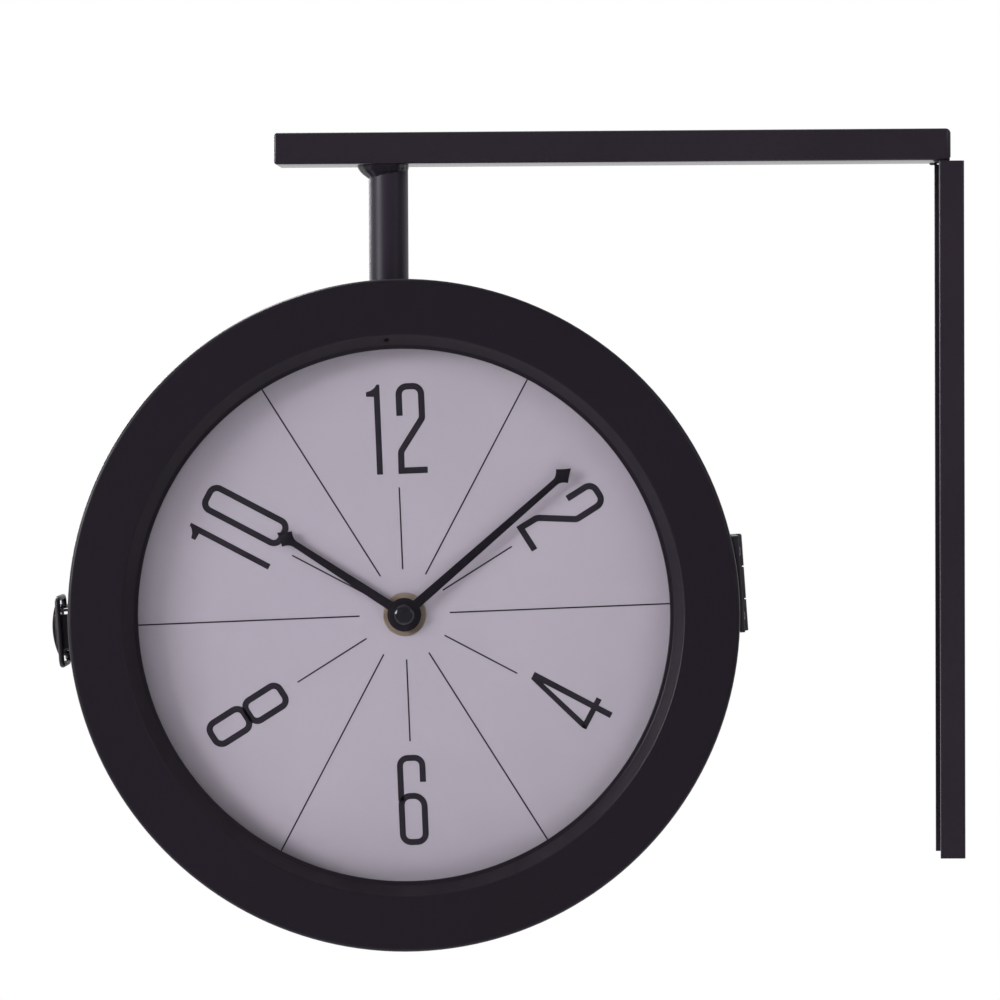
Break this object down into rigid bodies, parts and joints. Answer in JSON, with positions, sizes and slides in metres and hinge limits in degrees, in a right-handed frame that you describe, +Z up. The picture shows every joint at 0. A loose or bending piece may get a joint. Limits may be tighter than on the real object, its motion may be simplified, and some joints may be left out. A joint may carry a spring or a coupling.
{
  "type": "double sided station clock",
  "caption": "Round double sided clock on a wall bracket: rail, arm and stem carry a hinged drum case with a dial, glass and quartz movement on each side.",
  "frame": {"origin": "middle of the rail's wall face, at half its height", "axes": "+X into the wall, +Z up, the front dial looks along -Y"},
  "size_m": [0.3692, 0.074, 0.3277],
  "materials": {
    "bracket_coat": "satin black powder coat",
    "case_coat": "satin black powder coat",
    "fitting_black": "black coated steel",
    "steel": "plain zinc plated steel",
    "lens_glass": "clear",
    "dial": "matt printed, plain numbers and radial lines",
    "spacer_black": "matt",
    "movement_black": "fine moulded texture",
    "battery_can": "plain sleeve",
    "copper": "enamelled copper winding",
    "board_green": "lacquered board",
    "brass": "dull turned brass",
    "wheel_white": "natural acetal",
    "hand_black": "black painted",
    "cap_gloss": "gloss black"
  },
  "bodies": {
    "bracket_and_rear_case": {"wall_rail": "bracket_coat", "arm_tube": "bracket_coat", "arm_end_plate_free": "bracket_coat", "arm_end_plate_wall": "bracket_coat", "stem_tube": "bracket_coat", "stem_weld": "bracket_coat", "stem_saddle_washer": "steel", "stem_lock_nut": "steel", "rear_shell": "case_coat", "rear_bezel_screw": "fitting_black", "rear_glass": "lens_glass", "rear_spacer_ring": "spacer_black", "rear_dial_carrier": "fitting_black", "rear_dial_plate": "dial", "rear_movement_case": "movement_black", "rear_movement_cover": "movement_black", "rear_battery": "battery_can", "rear_drive_coil": "copper", "rear_circuit_board": "board_green", "rear_centre_bush": "brass", "rear_bush_washer": "brass", "rear_bush_nut": "brass", "hinge_leaf_rear": "fitting_black", "hinge_pin": "fitting_black", "latch_base": "fitting_black", "latch_pin": "steel"},
    "front_door": {"front_shell": "case_coat", "front_bezel_screw": "fitting_black", "front_glass": "lens_glass", "front_spacer_ring": "spacer_black", "front_dial_carrier": "fitting_black", "front_dial_plate": "dial", "front_movement_case": "movement_black", "front_movement_cover": "movement_black", "front_battery": "battery_can", "front_drive_coil": "copper", "front_circuit_board": "board_green", "front_centre_bush": "brass", "front_bush_washer": "brass", "front_bush_nut": "brass", "hinge_leaf_front": "fitting_black", "latch_catch": "fitting_black"},
    "front_minute": {"front_minute_arbor": "wheel_white", "front_minute_hand": "hand_black", "front_hand_cap": "cap_gloss"},
    "front_hour": {"front_hour_wheel": "wheel_white", "front_hour_hand": "hand_black"},
    "front_setting": {"front_minute_wheel": "wheel_white", "front_setting_knob": "wheel_white"},
    "rear_minute": {"rear_minute_arbor": "wheel_white", "rear_minute_hand": "hand_black", "rear_hand_cap": "cap_gloss"},
    "rear_hour": {"rear_hour_wheel": "wheel_white", "rear_hour_hand": "hand_black"},
    "rear_setting": {"rear_minute_wheel": "wheel_white", "rear_setting_knob": "wheel_white"},
    "latch_lever": {"latch_lever": "fitting_black"},
    "latch_bail": {"latch_bail": "fitting_black"}
  },
  "joints": [
    {"name": "door_swing", "type": "hinge", "parent": "bracket_and_rear_case", "child": "front_door", "pos_m": [-0.0895, -0.016, -0.02868], "axis": [-0.068, 0, 0.9977], "range_deg": [0, 100]},
    {"name": "latch_lever_turn", "type": "hinge", "parent": "bracket_and_rear_case", "child": "latch_lever", "pos_m": [-0.36467, -0.006, -0.04744], "axis": [-0.068, 0, 0.9977], "range_deg": [0, 120]},
    {"name": "latch_bail_turn", "type": "hinge", "parent": "latch_lever", "child": "latch_bail", "pos_m": [-0.36407, -0.002, -0.04739], "axis": [-0.068, 0, 0.9977], "range_deg": [-120, 0]},
    {"name": "front_minute_turn", "type": "hinge", "parent": "front_door", "child": "front_minute", "pos_m": [-0.2247, -0.023, -0.0407], "axis": [0, 1, 0], "continuous": true},
    {"name": "front_hour_turn", "type": "hinge", "parent": "front_door", "child": "front_hour", "pos_m": [-0.2247, -0.023, -0.0407], "axis": [0, 1, 0], "continuous": true},
    {"name": "front_setting_turn", "type": "hinge", "parent": "front_door", "child": "front_setting", "pos_m": [-0.22511, -0.023, -0.02971], "axis": [0, 1, 0], "continuous": true},
    {"name": "rear_minute_turn", "type": "hinge", "parent": "bracket_and_rear_case", "child": "rear_minute", "pos_m": [-0.2247, 0.023, -0.0407], "axis": [0, -1, 0], "continuous": true},
    {"name": "rear_hour_turn", "type": "hinge", "parent": "bracket_and_rear_case", "child": "rear_hour", "pos_m": [-0.2247, 0.023, -0.0407], "axis": [0, -1, 0], "continuous": true},
    {"name": "rear_setting_turn", "type": "hinge", "parent": "bracket_and_rear_case", "child": "rear_setting", "pos_m": [-0.22511, 0.023, -0.02971], "axis": [0, -1, 0], "continuous": true}
  ],
  "couplings": [
    {"joint": "latch_bail_turn", "follows": "latch_lever_turn", "ratio": -1},
    {"joint": "front_hour_turn", "follows": "front_minute_turn", "ratio": 0.083333},
    {"joint": "front_setting_turn", "follows": "front_minute_turn", "ratio": -0.33333},
    {"joint": "rear_hour_turn", "follows": "rear_minute_turn", "ratio": 0.083333},
    {"joint": "rear_setting_turn", "follows": "rear_minute_turn", "ratio": -0.33333}
  ]
}
